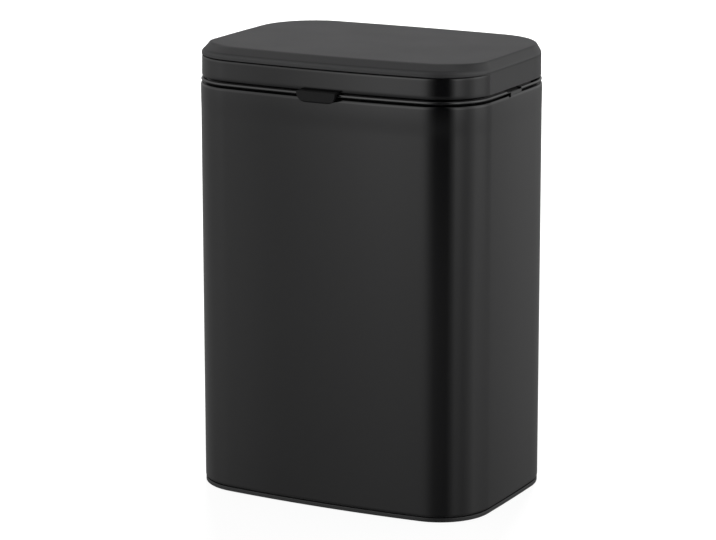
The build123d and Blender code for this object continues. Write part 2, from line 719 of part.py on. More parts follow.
def bail_handle():
    """Bent wire handle of the bucket, lying forward on the flange."""
    points = [
        (BAIL_END_X, PIVOT_Y),
        (BAIL_SIDE_X, PIVOT_Y),
        (BAIL_SIDE_X, BAIL_FRONT_Y),
        (-BAIL_SIDE_X, BAIL_FRONT_Y),
        (-BAIL_SIDE_X, PIVOT_Y),
        (-BAIL_END_X, PIVOT_Y),
    ]
    bends = [BAIL_BEND, BAIL_CORNER, BAIL_CORNER, BAIL_BEND]
    path = FilletPolyline(*[(x, y, PIVOT_Z) for x, y in points], radius=bends)
    section = Plane(origin=path @ 0, z_dir=path % 0) * Circle(BAIL_RADIUS)
    return sweep(section, path=path)


def bail_grip():
    """Plastic tube on the middle of the bail."""
    half = GRIP_LENGTH / 2
    grip = rod_x(GRIP_RADIUS, -half, half, BAIL_FRONT_Y, PIVOT_Z)
    grip = fillet(grip.edges().filter_by(GeomType.CIRCLE), GRIP_ROUND)
    hole = rod_x(BAIL_RADIUS + PRESS_GAP, -half - OVERCUT, half + OVERCUT, BAIL_FRONT_Y, PIVOT_Z)
    return grip - hole


def rounded_plate(width, height, corner, y0, y1, z):
    """Upright plate with rounded corners, centred on x = 0."""
    plate = block(-width / 2, width / 2, y0, y1, z - height / 2, z + height / 2)
    return fillet(plate.edges().filter_by(Axis.Y), corner)


def wall_bracket():
    """Steel plate on the wall, with two hooks that stand up behind the bin."""
    bracket = rounded_plate(BRACKET_WIDTH, BRACKET_HEIGHT, BRACKET_CORNER, BRACKET_Y, WALL_Y, BRACKET_Z)
    for side in (-1, 1):
        x = side * HOOK_X
        root = BRACKET_Z - 2 * BRACKET_SHEET
        arm = block(
            x - HOOK_WIDTH / 2, x + HOOK_WIDTH / 2, HOOK_Y - BRACKET_SHEET, BRACKET_Y,
            root, root + BRACKET_SHEET,
        )
        tongue = block(
            x - HOOK_WIDTH / 2, x + HOOK_WIDTH / 2, HOOK_Y - BRACKET_SHEET, HOOK_Y, root, HOOK_TOP
        )
        bracket += arm + tongue
        for z in (-SCREW_SPACING_Z / 2, SCREW_SPACING_Z / 2):
            hole_x = side * SCREW_SPACING_X / 2
            bracket -= rod_y(
                SCREW_HOLE_RADIUS, hole_x, BRACKET_Y - OVERCUT, WALL_Y + OVERCUT, BRACKET_Z + z
            )
    return bracket


def rivet_levels():
    """Levels of the two rows of rivets."""
    middle = BRACKET_Z + HANGER_RISE
    reach = HANGER_HEIGHT / 2 - RIVET_EDGE_Z
    return (middle - reach, middle + reach)


def rivet_holes():
    """The four holes that the hanger's rivets pass through, as solids to cut away."""
    holes = []
    for x in (-RIVET_X, RIVET_X):
        inside = rear_surface(x) - SHELL_WALL - OVERCUT
        for z in rivet_levels():
            holes.append(rod_y(RIVET_RADIUS + PRESS_GAP, x, inside, HANGER_Y + OVERCUT, z))
    return holes


def hanger_plate():
    """Steel plate on the back of the shell, with two pockets that drop over the hooks."""
    middle = BRACKET_Z + HANGER_RISE
    inside = rear_surface(HANGER_WIDTH / 2) - OVERCUT
    hanger = rounded_plate(HANGER_WIDTH, HANGER_HEIGHT, HANGER_CORNER, inside, HANGER_Y, middle)
    hanger -= prism(0, middle - HANGER_HEIGHT, middle + HANGER_HEIGHT)
    inner = HOOK_WIDTH / 2 + LOOP_SIDE_GAP
    for x in (-HOOK_X, HOOK_X):
        pocket = block(
            x - inner - LOOP_SIDE, x + inner + LOOP_SIDE, HANGER_Y, LOOP_Y,
            HOOK_TOP - LOOP_DROP, HOOK_TOP + LOOP_SIDE,
        )
        pocket -= block(
            x - inner, x + inner, HANGER_Y, LOOP_Y - LOOP_SHEET,
            HOOK_TOP - LOOP_DROP - OVERCUT, HOOK_TOP,
        )
        hanger += pocket
    return hanger - rivet_holes()


def hanger_rivets():
    """Four rivets through the shell and the hanger plate."""
    rivets = []
    for x in (-RIVET_X, RIVET_X):
        inside = rear_surface(x) - SHELL_WALL - SNUG_GAP
        for z in rivet_levels():
            rivet = rod_y(RIVET_RADIUS, x, inside, HANGER_Y, z)
            rivet += rod_y(RIVET_HEAD_RADIUS, x, HANGER_Y, HANGER_Y + RIVET_HEAD, z)
            rivet += rod_y(RIVET_HEAD_RADIUS, x, inside - RIVET_HEAD, inside, z)
            rivets.append(rivet)
    return Compound(children=rivets)


def wall_bumpers():
    """Two rubber pads low on the back that keep the bin upright against the wall."""
    pad = rod_y(BUMPER_RADIUS, BUMPER_X, BACK_Y - BUMPER_RADIUS, WALL_Y - BUMPER_WALL_GAP, BUMPER_Z)
    pad = fillet(pad.edges().filter_by(GeomType.CIRCLE).sort_by(Axis.Y)[-1], BUMPER_ROUND)
    pad -= prism(0, BUMPER_Z - 2 * BUMPER_RADIUS, BUMPER_Z + 2 * BUMPER_RADIUS)
    return mirrored(pad)


def place(shape):
    """From the bin's own place to the middle of the bracket's screw holes on the wall."""
    return Pos(0, -WALL_Y, -BRACKET_Z) * shape


PARTS = {
    "wall_bracket": wall_bracket,
    "body_shell": body_shell,
    "base_ring": base_ring,
    "bottom_plate": bottom_plate,
    "rim_frame": rim_frame,
    "bucket_ring": bucket_ring,
    "lid_buffers": lid_buffers,
    "hinge_housing": hinge_housing,
    "housing_screws": housing_screws,
    "hinge_pin": hinge_pin,
    "damper_body": damper_body,
    "hanger_plate": hanger_plate,
    "hanger_rivets": hanger_rivets,
    "wall_bumpers": wall_bumpers,
    "lid_shell": lid_shell,
    "lid_band": lid_band,
    "lid_liner": lid_liner,
    "liner_screws": liner_screws,
    "finger_tab": finger_tab,
    "tab_screws": tab_screws,
    "hinge_bush": hinge_bush,
    "damper_rotor": damper_rotor,
    "inner_bucket": inner_bucket,
    "bail_handle": bail_handle,
    "bail_grip": bail_grip,
}

os.makedirs("parts", exist_ok=True)
for name, make in PARTS.items():
    export_step(place(make()), f"parts/{name}.step")
    print("wrote", name)
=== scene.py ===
# %% [markdown]
# # A wall-mounted trash can
# The bin is a painted steel sleeve with a moulded rim, a hinged lid and a bucket inside.
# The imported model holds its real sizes, joints and fasteners. This lesson gives it its looks:
# smooth shells worked out from one plan, and a material for every real finish.
# The bin could be modelled by hand from a cube, but its seams are a millimetre wide and have to
# meet the hinge and the bucket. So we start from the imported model, and every piece sits where
# it says.

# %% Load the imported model
import json
import math

import bmesh
import bpy
import numpy as np
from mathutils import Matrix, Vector


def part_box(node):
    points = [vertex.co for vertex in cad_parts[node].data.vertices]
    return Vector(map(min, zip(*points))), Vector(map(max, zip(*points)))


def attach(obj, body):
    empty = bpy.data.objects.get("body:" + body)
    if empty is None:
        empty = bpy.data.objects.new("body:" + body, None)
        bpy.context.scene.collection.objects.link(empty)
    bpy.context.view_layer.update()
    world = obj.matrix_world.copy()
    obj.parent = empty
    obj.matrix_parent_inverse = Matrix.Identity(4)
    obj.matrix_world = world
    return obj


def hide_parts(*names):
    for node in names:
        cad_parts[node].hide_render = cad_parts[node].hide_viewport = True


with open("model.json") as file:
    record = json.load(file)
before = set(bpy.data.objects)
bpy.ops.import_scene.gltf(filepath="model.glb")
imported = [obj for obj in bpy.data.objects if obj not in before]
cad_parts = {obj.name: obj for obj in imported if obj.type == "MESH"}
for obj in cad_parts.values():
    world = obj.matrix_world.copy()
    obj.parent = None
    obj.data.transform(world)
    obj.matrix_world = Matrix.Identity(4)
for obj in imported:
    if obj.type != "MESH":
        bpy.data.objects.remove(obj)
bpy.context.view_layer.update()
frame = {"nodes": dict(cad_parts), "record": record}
nodes = frame["nodes"]
print("CAD nodes:", len(nodes))

# %% [markdown]
# ## One frame for all pieces
# It is easier to think of the bin standing with its foot at zero, in millimetres, with its
# middle at x = 0 and y = 0. The model's own origin is on the wall, so one function carries
# points from the standing bin to the model. Where the bin stands in the model is read from
# its base ring, so nothing is fitted by eye.

# %% Millimetres of the standing bin
MM = 0.001
base_low, base_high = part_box("base_ring")
FOOT_Z = base_low[2]
MIDDLE_Y = (base_low[1] + base_high[1]) / 2


def in_frame(points):
    """Points of the standing bin in mm, as points of the model in metres."""
    return np.asarray(points, float) * MM + (0.0, MIDDLE_Y, FOOT_Z)


def level(node, end):
    """Height in mm above the foot of a node's lower (0) or upper (1) end."""
    return (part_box(node)[end][2] - FOOT_Z) / MM


SHELL_BOTTOM = level("body_shell", 0)
SHELL_TOP = level("body_shell", 1)
LID_BOTTOM = level("lid_shell", 0)
LID_TOP = level("lid_shell", 1)
BAND_TOP = level("lid_band", 1)
UPSTAND_TOP = level("rim_frame", 1)
RING_TOP = level("bucket_ring", 1)
BUCKET_BOTTOM = level("inner_bucket", 0)
print("shell", round(SHELL_BOTTOM, 2), "to", round(SHELL_TOP, 2))
print("lid", round(LID_BOTTOM, 2), "to", round(LID_TOP, 2))

# %% [markdown]
# ## The plan of the bin
# Seen from above, the bin is a soft rectangle: four gently bowed faces joined by four round
# corners. Every arc meets the next one without a kink, which is why the reflections run
# smoothly round the real sheet. A subdivided box could only come near to this, so the plan
# is worked out exactly, as eight arcs, and everything else is an offset of it.

# %% Sizes of the plan
WIDTH = 243.5
DEPTH = 174.8
FRONT_BOW = 7.5
SIDE_BOW = 1.8
REAR_BOW = 4.4
FRONT_CORNER = 42.0
REAR_CORNER = 51.0
REAR_STEP = 10.0


def arc_radius(half_span, bow):
    """Radius of the arc that rises by bow over twice half_span: (s² + b²) / 2b."""
    return (half_span**2 + bow**2) / (2 * bow)


def corner_centre(face_y, face_radius, side_x, side_radius, towards):
    """Where two circles cross: one round (0, face_y), one round (side_x, 0)."""
    span = math.hypot(side_x, face_y)
    along = (face_radius**2 - side_radius**2 + span**2) / (2 * span)
    across = math.sqrt(face_radius**2 - along**2)
    foot = np.array([along * side_x / span, face_y * (1 - along / span)])
    sideways = np.array([face_y, side_x]) * across / span
    first, second = foot + sideways, foot - sideways
    return max(first, second, key=lambda p: (p[0] > 0, towards * p[1]))


def plan_arcs(rear_step):
    """The eight arcs, front first, then round to the right: centre x, y, radius, first and last angle."""
    front_r = arc_radius(WIDTH / 2, FRONT_BOW)
    side_r = arc_radius(DEPTH / 2, SIDE_BOW)
    rear_r = arc_radius(WIDTH / 2, REAR_BOW)
    front_y = front_r - DEPTH / 2
    rear_y = DEPTH / 2 - rear_step - rear_r
    side_x = WIDTH / 2 - side_r
    fx, fy = corner_centre(front_y, front_r - FRONT_CORNER, side_x, side_r - FRONT_CORNER, -1)
    rx, ry = corner_centre(rear_y, rear_r - REAR_CORNER, side_x, side_r - REAR_CORNER, 1)
    a = math.atan2(fy - front_y, fx)
    b = math.atan2(fy, fx - side_x)
    c = math.atan2(ry, rx - side_x)
    d = math.atan2(ry - rear_y, rx)
    half = math.pi
    return [
        (0, front_y, front_r, -half - a, a),
        (fx, fy, FRONT_CORNER, a, b),
        (side_x, 0, side_r, b, c),
        (rx, ry, REAR_CORNER, c, d),
        (0, rear_y, rear_r, d, half - d),
        (-rx, ry, REAR_CORNER, half - d, half - c),
        (-side_x, 0, side_r, half - c, half - b),
        (-fx, fy, FRONT_CORNER, half - b, half - a),
    ]


print("front corner centre", [round(v, 2) for v in plan_arcs(0)[1][:2]])

# %% [markdown]
# ## Stations round the plan
# A shell is a grid: one direction runs round the plan, the other along a section. The plan is
# therefore cut into stations at fixed shares of each arc. Where a notch or a window starts,
# two stations stand a hair apart, so that the cut gets a crisp wall.

# %% Places of the cuts
FRONT, RIGHT, REAR, LEFT = 0, 2, 4, 6
ARC_STEPS = (72, 32, 40, 34, 72, 34, 40, 32)
HAIR = 1e-4
CROSSING_STEPS = 4001
# Along the sides, in y: the low place in the bead, its key slot and lug, and where the rim's
# upstand and the lid's band end
NOTCH_START = -16.5
NOTCH_END = 8.5
KEY_START = -14.1
LUG_START = -10.5
UPSTAND_END = 35.0
BAND_END = -44.0
# Across the front and the rear, in x: the gaps for the finger tab and the hinge
TAB_GAP_HALF = 16.85
WINDOW_HALF = 53.2


def arc_points(arc, share):
    """Point and outward normal at a share of an arc: centre + radius × (cos, sin)."""
    x, y, radius, start, end = arc
    angle = start + (end - start) * share
    normal = np.stack([np.cos(angle), np.sin(angle)], axis=-1)
    return normal * radius + (x, y), normal


def crossing(arc, axis, value):
    """Share of the arc at which its x (axis 0) or y (axis 1) reaches a value."""
    share = np.linspace(0, 1, CROSSING_STEPS)
    spots = arc_points(arc, share)[0][:, axis]
    order = np.argsort(spots)
    return np.interp(value, spots[order], share[order])


side_cuts = [NOTCH_START, NOTCH_END, KEY_START, LUG_START, UPSTAND_END, BAND_END]
cuts = {
    FRONT: (0, [-TAB_GAP_HALF, TAB_GAP_HALF]),
    RIGHT: (1, side_cuts),
    REAR: (0, [-WINDOW_HALF, WINDOW_HALF]),
    LEFT: (1, side_cuts),
}
shares = []
for index, (arc, steps) in enumerate(zip(plan_arcs(0), ARC_STEPS)):
    share = np.arange(steps) / steps
    if index in cuts:
        axis, values = cuts[index]
        edges = np.array([crossing(arc, axis, value) for value in values])
        share = np.sort(np.concatenate([share, edges - HAIR, edges + HAIR]))
    shares.append(share)


def plan(rear_step):
    """All stations of the plan and their outward normals."""
    parts = [arc_points(arc, share) for arc, share in zip(plan_arcs(rear_step), shares)]
    return np.vstack([p for p, n in parts]), np.vstack([n for p, n in parts])


near_plan, normals = plan(0.0)
far_plan, far_normals = plan(REAR_STEP)
on_side = np.abs(near_plan[:, 0]) > WIDTH / 2 - SIDE_BOW
in_notch = on_side & (near_plan[:, 1] > NOTCH_START) & (near_plan[:, 1] < NOTCH_END)
in_key = on_side & (near_plan[:, 1] > KEY_START) & (near_plan[:, 1] < LUG_START)
in_lug = on_side & (near_plan[:, 1] > LUG_START) & (near_plan[:, 1] < NOTCH_END)
in_window = (near_plan[:, 1] > 0) & (np.abs(near_plan[:, 0]) < WINDOW_HALF)
in_tab_gap = (near_plan[:, 1] < 0) & (np.abs(near_plan[:, 0]) < TAB_GAP_HALF)
no_upstand = in_tab_gap | (near_plan[:, 1] > UPSTAND_END)
print("stations", len(near_plan), "in a notch", int(in_notch.sum()), "in the window", int(in_window.sum()))

# %% [markdown]
# ## Sections with round corners
# Moulded plastic and rolled sheet have no sharp edge, and that fine round is what catches the
# light. A section is written as a short list of corners, each with its radius. The arc in a
# corner is a rational quadratic curve, which is an exact circle when its weight is the sine
# of half the corner's angle. A guard point beside each arc keeps the flat next to it flat
# when it is shaded.

# %% Rounded sections
GUARD = 0.25


def unit(vector):
    """The vector divided by its length."""
    return vector / np.linalg.norm(vector)


def rounded(corners, steps=6):
    """Corners (a, b, ..., radius) as a line with arcs: ((1-t)²P + 2t(1-t)wC + t²Q) / the same weights."""
    corners = np.asarray(corners, float)
    spots, radii = corners[:, :-1], corners[:, -1]
    t = np.linspace(0, 1, steps + 1)[:, None]
    parts = []
    for i, (spot, radius) in enumerate(zip(spots, radii)):
        if radius == 0:
            parts.append(spot[None])
            continue
        back = unit(spots[i - 1] - spot)
        ahead = unit(spots[(i + 1) % len(spots)] - spot)
        half = math.acos(np.clip(back @ ahead, -1, 1)) / 2
        reach = radius / math.tan(half)
        first, last = spot + back * reach, spot + ahead * reach
        weights = np.hstack([(1 - t) ** 2, 2 * t * (1 - t) * math.sin(half), t**2])
        arc = weights @ np.stack([first, spot, last]) / weights.sum(axis=1)[:, None]
        guard = GUARD * min(radius, reach)
        parts += [(first + back * guard)[None], arc, (last + ahead * guard)[None]]
    return np.vstack(parts)


def quarter(inset, height, reach, drop, steps=10):
    """A wall turned over at a level (drop < 0: under): inset + r(1 - cos t), height - d(1 - sin t)."""
    t = np.linspace(0, math.pi / 2, steps + 1)
    return np.stack([inset + reach * (1 - np.cos(t)), height - drop * (1 - np.sin(t)), 0 * t], axis=1)


print("a rounded square has", len(rounded([(0, 0, 1), (9, 0, 1), (9, 9, 1), (0, 9, 1)])), "points")

# %% [markdown]
# ## Sweeping a section round the plan
# Each point of a section has an inset from the plan and a level. Carried round, it becomes
# plan point − inset × normal. The mouth of the bin is stepped forward at the back, to leave
# room for the hinge, so a section point can also belong to the stepped plan.

# %% Sweep and join


def swept(section, inset=None, height=None):
    """Section (inset, level, step 0 or 1) at all stations: plan point − inset × normal.

    An inset or height given here, one row a station, takes the place of the section's own.
    """
    step = section[:, 2][None, :, None]
    inset = section[:, 0][None, :] if inset is None else inset
    height = section[:, 1][None, :] if height is None else height
    flat = near_plan[:, None] * (1 - step) + far_plan[:, None] * step
    normal = normals[:, None] * (1 - step) + far_normals[:, None] * step
    flat = flat - np.broadcast_to(inset, flat.shape[:2])[..., None] * normal
    return np.dstack([flat, np.broadcast_to(height, flat.shape[:2])])


def grid(points, round_rows=True, round_columns=True, caps=None):
    """Vertices and faces of a grid; caps 'poles' closes the two end columns, 'ends' the end rows."""
    rows, columns = points.shape[:2]
    i = np.arange(rows if round_rows else rows - 1)[:, None]
    j = np.arange(columns if round_columns else columns - 1)[None, :]
    next_i, next_j = (i + 1) % rows, (j + 1) % columns
    quads = np.stack(
        [i * columns + j, next_i * columns + j, next_i * columns + next_j, i * columns + next_j], axis=-1
    )
    faces = quads.reshape(-1, 4).tolist()
    vertices = points.reshape(-1, 3)
    if caps == "ends":
        faces.append(list(range(columns))[::-1])
        faces.append([(rows - 1) * columns + k for k in range(columns)])
    if caps == "poles":
        middles = np.stack([points[:, 0].mean(axis=0), points[:, -1].mean(axis=0)])
        first = len(vertices)
        vertices = np.vstack([vertices, middles])
        start = np.arange(rows) * columns
        after = np.roll(start, -1)
        pole = np.full(rows, first)
        faces += np.stack([after, start, pole], axis=1).tolist()
        faces += np.stack([start + columns - 1, after + columns - 1, pole + 1], axis=1).tolist()
    return vertices, faces


def volume(vertices, faces):
    """Signed volume: a sixth of the sum of a · (b × c) over a fan of each face's triangles."""
    total = 0.0
    for size in {len(face) for face in faces}:
        group = vertices[np.array([face for face in faces if len(face) == size])]
        for k in range(1, size - 1):
            total += np.einsum("ij,ij->i", group[:, 0], np.cross(group[:, k], group[:, k + 1])).sum()
    return total / 6


def outward(shell):
    """The same shell with its faces turned outwards."""
    vertices, faces = shell
    return (vertices, [face[::-1] for face in faces]) if volume(vertices, faces) < 0 else shell


SHARP = math.radians(40)


def piece(name, shells, body, slot, replaced=()):
    """A mesh object from closed shells in mm, riding on a body, in place of CAD nodes."""
    vertices, faces, start = [], [], 0
    for shell in shells:
        points, corners = outward(shell)
        vertices.append(points)
        faces += [[start + k for k in face] for face in corners]
        start += len(points)
    mesh = bpy.data.meshes.new(name)
    mesh.from_pydata(in_frame(np.vstack(vertices)).tolist(), [], faces)
    mesh.shade_smooth()
    mesh.set_sharp_from_angle(angle=SHARP)
    made = bpy.data.objects.new(name, mesh)
    bpy.context.scene.collection.objects.link(made)
    mesh.materials.append(MATERIALS[slot])
    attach(made, body)
    if replaced:
        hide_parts(*replaced)
    print(name, len(mesh.polygons), "faces")
    return made


# %% [markdown]
# ## Materials: one small helper
# Each finish below starts from what the real one is and how it was made. Colours are written
# as sRGB hex, as a colour picker shows them, and one function turns them to linear light.
# One function adds a node with its settings and links. Patterns read Object coordinates in
# metres, so a grain of 0.5 mm is 0.5 mm on every piece. Grains finer than half a millimetre
# wouldn't show in the picture, so they are drawn coarser than the real ones.

# %% Colour and node helpers
GLOSS_SPREAD = 0.1
GRAIN_DETAIL = 3.0
CLOUD_DETAIL = 4.0


def linear(code):
    """sRGB hex to linear light: v / 12.92 below 0.04045, ((v + 0.055) / 1.055)^2.4 above."""
    values = np.array([int(code[i : i + 2], 16) for i in (1, 3, 5)]) / 255
    values = np.where(values < 0.04045, values / 12.92, ((values + 0.055) / 1.055) ** 2.4)
    return (*values.tolist(), 1.0)


def add(tree, kind, settings=None, **links):
    """A node with its settings (property, socket name or number) and the sockets that feed it.

    A setting that is itself a socket is linked, because a maths node's sockets share one name.
    """
    node = tree.nodes.new(kind)
    for key, value in (settings or {}).items():
        if isinstance(value, bpy.types.NodeSocket):
            tree.links.new(value, node.inputs[key])
        elif isinstance(key, int) or key in node.inputs:
            node.inputs[key].default_value = value
        else:
            setattr(node, key, value)
    for key, source in links.items():
        tree.links.new(source, node.inputs[key.replace("_", " ")])
    return node


MATERIALS = {}


def finish(slot, name, colour, roughness, grain, depth, mottle, metallic=0.0, patch=0.05, specular=0.5):
    """A material: a colour with a faint mottle in patches (m), a grain (mm) of a depth (mm), its gloss."""
    material = bpy.data.materials.new(name)
    material.use_nodes = True
    tree = material.node_tree
    tree.nodes.clear()
    place = add(tree, "ShaderNodeTexCoord").outputs["Object"]
    fine = add(tree, "ShaderNodeTexNoise", {
        "Scale": 1 / (grain * MM), "Detail": GRAIN_DETAIL,
    }, Vector=place)
    cloud = add(tree, "ShaderNodeTexNoise", {"Scale": 1 / patch, "Detail": CLOUD_DETAIL}, Vector=place)
    light = np.array(linear(colour)[:3])
    darker = add(tree, "ShaderNodeMixRGB", {
        "Color1": (*(light * (1 - mottle)), 1.0), "Color2": (*(light * (1 + mottle)), 1.0),
    }, Fac=cloud.outputs["Fac"])
    rough = add(tree, "ShaderNodeMapRange", {
        "To Min": roughness * (1 - GLOSS_SPREAD), "To Max": roughness * (1 + GLOSS_SPREAD),
    }, Value=cloud.outputs["Fac"])
    bump = add(tree, "ShaderNodeBump", {"Strength": 1.0, "Distance": depth * MM}, Height=fine.outputs["Fac"])
    shader = add(tree, "ShaderNodeBsdfPrincipled", {
        "Metallic": metallic, "IOR": 1.5, "Specular IOR Level": specular,
    }, Base_Color=darker.outputs["Color"], Roughness=rough.outputs["Result"], Normal=bump.outputs["Normal"])
    add(tree, "ShaderNodeOutputMaterial", Surface=shader.outputs["BSDF"])
    MATERIALS[slot] = material
    print("material", name)


# %% [markdown]
# ## The finishes
# Powder coat on steel is satin: it shows the room as soft bands. The lid's ABS has a fine
# spark-eroded grain and shows no bands at all. The bucket and the rim are polypropylene, a
# little waxy. Zinc-plated sheet is a bluish grey metal with a faint cloud. A picture of each
# finish could be wrapped round the pieces, but noise of a real size needs no seams.

# %% Make the materials
# Baked powder flows out to a thick smooth skin: deep black, with soft-edged reflections
finish("coated_steel", "satin black powder coat", "#09090a", 0.14, 3.0, 0.004, mottle=0.06)
# The eroded mould leaves a fine grain that breaks up every reflection: an even dark grey
finish("lid_plastic", "spark-grained moulded ABS", "#262627", 0.5, 0.7, 0.03, mottle=0.05)
# A polished mould: the rim is glossier than the lid, so its bead catches a fine line of light
finish("rim_plastic", "moulded polypropylene rim", "#0c0c0d", 0.2, 0.8, 0.004, mottle=0.05,
       specular=0.8)
# The same plastic from a duller mould, so the foot hardly mirrors the room
finish("base_plastic", "moulded polypropylene foot", "#19191a", 0.42, 0.8, 0.02, mottle=0.05)
# The blackest and dullest of the plastics
finish("tab_plastic", "matte black moulded tab", "#0a0a0b", 0.6, 0.7, 0.03, mottle=0.05, specular=0.3)
# Acetal is hard and slippery, with a faint silky shine
finish("black_plastic", "black acetal mouldings", "#161617", 0.45, 0.8, 0.02, mottle=0.05)
# Thin polypropylene is waxy: a broad, weak shine
finish("bucket_plastic", "dark grey polypropylene bucket", "#2b2b2d", 0.4, 1.0, 0.03, mottle=0.06)
# Undyed acetal is ivory white
finish("damper_plastic", "natural acetal", "#d9d6c8", 0.38, 0.8, 0.01, mottle=0.03)
# Plating comes out a little uneven: faint cloudy patches, about 20 mm across
finish("zinc_steel", "zinc-plated sheet steel", "#b4b8bb", 0.36, 2.2, 0.01, mottle=0.1, metallic=1.0,
       patch=0.02)
# Bright plating on turned and drawn steel: small sharp glints
finish("screw_steel", "bright zinc-plated fasteners", "#c6c7c8", 0.24, 1.2, 0.006, mottle=0.06, metallic=1.0)
# Black rubber takes in nearly all light and scatters the little that is left
finish("rubber", "matte black rubber", "#141414", 0.8, 0.6, 0.03, mottle=0.08)

# %% [markdown]
# ## The body: a painted sleeve
# The real shell is one sheet of steel, rolled round the plan and folded over at its top. The
# fold makes the upper edge stand a little proud and gives it a bright line. An extruded curve
# with a Bevel modifier would round both edges alike, so the section is drawn instead: it
# leaves the plan in a gentle S, runs up the fold and comes back down inside. Beside each lug
# of the rim, a small key slot is pressed into the upper edge.

# %% Body shell
SHELL_WALL = 1.0
HEM_HEIGHT = 8.4
HEM_FLARE = 0.15
HEM_RISE = 16.0
HEM_STEPS = 17
KEY_DEPTH = 1.1
SQUASHED = 0.02
NEARLY = 0.01
LOWER_EDGE = (0.6, -1.5)
UPPER_EDGE = (0.9, 2.2)
CUT_EDGE = 0.2
EDGE_GUARD = 2.0
HEM_GUARD = 1.0
HEM_FULL = SHELL_TOP - HEM_HEIGHT
HEM_START = HEM_FULL - HEM_RISE


def pressed(values, limit, where, side):
    """Values past a limit pressed onto it, at some stations: limit + 0.02 × (value − limit)."""
    values = np.broadcast_to(values, (len(near_plan), np.shape(values)[-1])).copy()
    past = (side * (values - limit) > 0) & where[:, None]
    values[past] = limit + SQUASHED * (values[past] - limit)
    return values


t = np.linspace(0, 1, HEM_STEPS)
flare_inset = -HEM_FLARE * (1 - np.cos(math.pi * t)) / 2
flare = np.stack([flare_inset, HEM_START + (HEM_FULL - HEM_START) * t, 0 * t], axis=1)
shell_section = np.vstack([
    quarter(0, SHELL_BOTTOM, *LOWER_EDGE)[::-1],
    [(0, SHELL_BOTTOM + EDGE_GUARD, 0), (0, HEM_START - HEM_GUARD, 0)],
    flare,
    quarter(-HEM_FLARE, SHELL_TOP, *UPPER_EDGE),
    [(SHELL_WALL - CUT_EDGE, SHELL_TOP, 0), (SHELL_WALL, SHELL_TOP - CUT_EDGE, 0)],
    [(SHELL_WALL, SHELL_BOTTOM + CUT_EDGE, 0), (SHELL_WALL - CUT_EDGE / 2, SHELL_BOTTOM, 0)],
])
shell_height = pressed(shell_section[:, 1], SHELL_TOP - KEY_DEPTH, in_key, 1)
piece("body_sleeve", [grid(swept(shell_section, height=shell_height))], "bin", "coated_steel", ["body_shell"])

# %% [markdown]
# ## Base ring
# A moulded ring closes the foot. It stands back from the sheet by a third of a millimetre, and
# the fine groove over it draws a dark line round the bin. A groove this fine could be painted
# on, but a real step stays right in every view, so the section steps in and out again.

# %% Foot
BASE_GROOVE = 1.0
BASE_HEIGHT = SHELL_BOTTOM - BASE_GROOVE
BASE_INSET = 0.3
GROOVE_INSET = 2.6
SLEEVE_INSET = 1.1
COLLAR_WALL = 3.0
BASE_SEAT = 4.0
COLLAR_TOP = level("base_ring", 1)
collar_inner = SLEEVE_INSET + COLLAR_WALL
base_section = rounded([
    (BASE_INSET, 0, 0, 0.9),
    (BASE_INSET, BASE_HEIGHT, 0, 0.5),
    (GROOVE_INSET, BASE_HEIGHT, 0, 0),
    (GROOVE_INSET, SHELL_BOTTOM, 0, 0),
    (SLEEVE_INSET, SHELL_BOTTOM, 0, 0),
    (SLEEVE_INSET, COLLAR_TOP, 0, 0.3),
    (collar_inner, COLLAR_TOP, 0, 0.3),
    (collar_inner, BASE_HEIGHT, 0, 0.3),
    (collar_inner + BASE_SEAT, BASE_HEIGHT, 0, 0.5),
    (collar_inner + BASE_SEAT, 0, 0, 0.5),
])
piece("foot_ring", [grid(swept(base_section))], "bin", "base_plastic", ["base_ring"])

# %% [markdown]
# ## Rim
# The rim is one moulding: a bead that shows as a fine line under the lid, a neck that makes
# the dark groove below it, a sleeve inside the shell and a low upstand inside the lid. Half
# way along each side the bead is low, and a lug fills the groove under it. The upstand stops
# where the finger tab and the hinge need room. Cutting these places with a Boolean would leave
# ragged edges, so at their stations the section's points are pressed down or moved out. The
# walls of the grooves lean to the floor, because a plumb wall would mirror the bright room.

# %% Rim frame
RIM_GROOVE = 1.8
BEAD_HEIGHT = 2.1
BEAD_BOTTOM = SHELL_TOP + RIM_GROOVE
RIM_TOP = BEAD_BOTTOM + BEAD_HEIGHT
BEAD_INSET = 0.2
BEAD_UNDER_ROUND = 0.6
BEAD_TOP_ROUND = 1.2
NECK_INSET = 3.0
NOTCH_DEPTH = 1.2
UPSTAND_INSET = 4.0
UPSTAND_WALL = 1.4
STEP_RISE = 0.05
LEAN_HEIGHT = 2.2
FACE_LEAN = 0.7
MOUTH_INSET = UPSTAND_INSET + UPSTAND_WALL
rim_section = rounded([
    (SLEEVE_INSET, RING_TOP, 0, 0),
    (SLEEVE_INSET, SHELL_TOP, 0, 0),
    (NECK_INSET + FACE_LEAN, SHELL_TOP, 0, 0),
    (NECK_INSET - FACE_LEAN, BEAD_BOTTOM, 0, 0),
    (BEAD_INSET, BEAD_BOTTOM, 0, BEAD_UNDER_ROUND),
    (BEAD_INSET, RIM_TOP, 0, BEAD_TOP_ROUND),
    (UPSTAND_INSET + FACE_LEAN, RIM_TOP, 0, 0),
    (UPSTAND_INSET, RIM_TOP + LEAN_HEIGHT, 0, 0.3),
    (UPSTAND_INSET, UPSTAND_TOP, 0, 0.4),
    (MOUTH_INSET, UPSTAND_TOP, 0, 0.4),
    (MOUTH_INSET, RIM_TOP + STEP_RISE, 0, 0),
    (MOUTH_INSET, RIM_TOP, 1, 0),
    (MOUTH_INSET, RING_TOP, 1, 0),
])
rim_height = pressed(rim_section[:, 1], RIM_TOP, no_upstand, 1)
outside = rim_section[:, 0] < UPSTAND_INSET - NEARLY
rim_height[:, outside] = pressed(rim_section[outside, 1], RIM_TOP - NOTCH_DEPTH, in_notch, 1)
rim_inset = np.broadcast_to(rim_section[:, 0], rim_height.shape).copy()
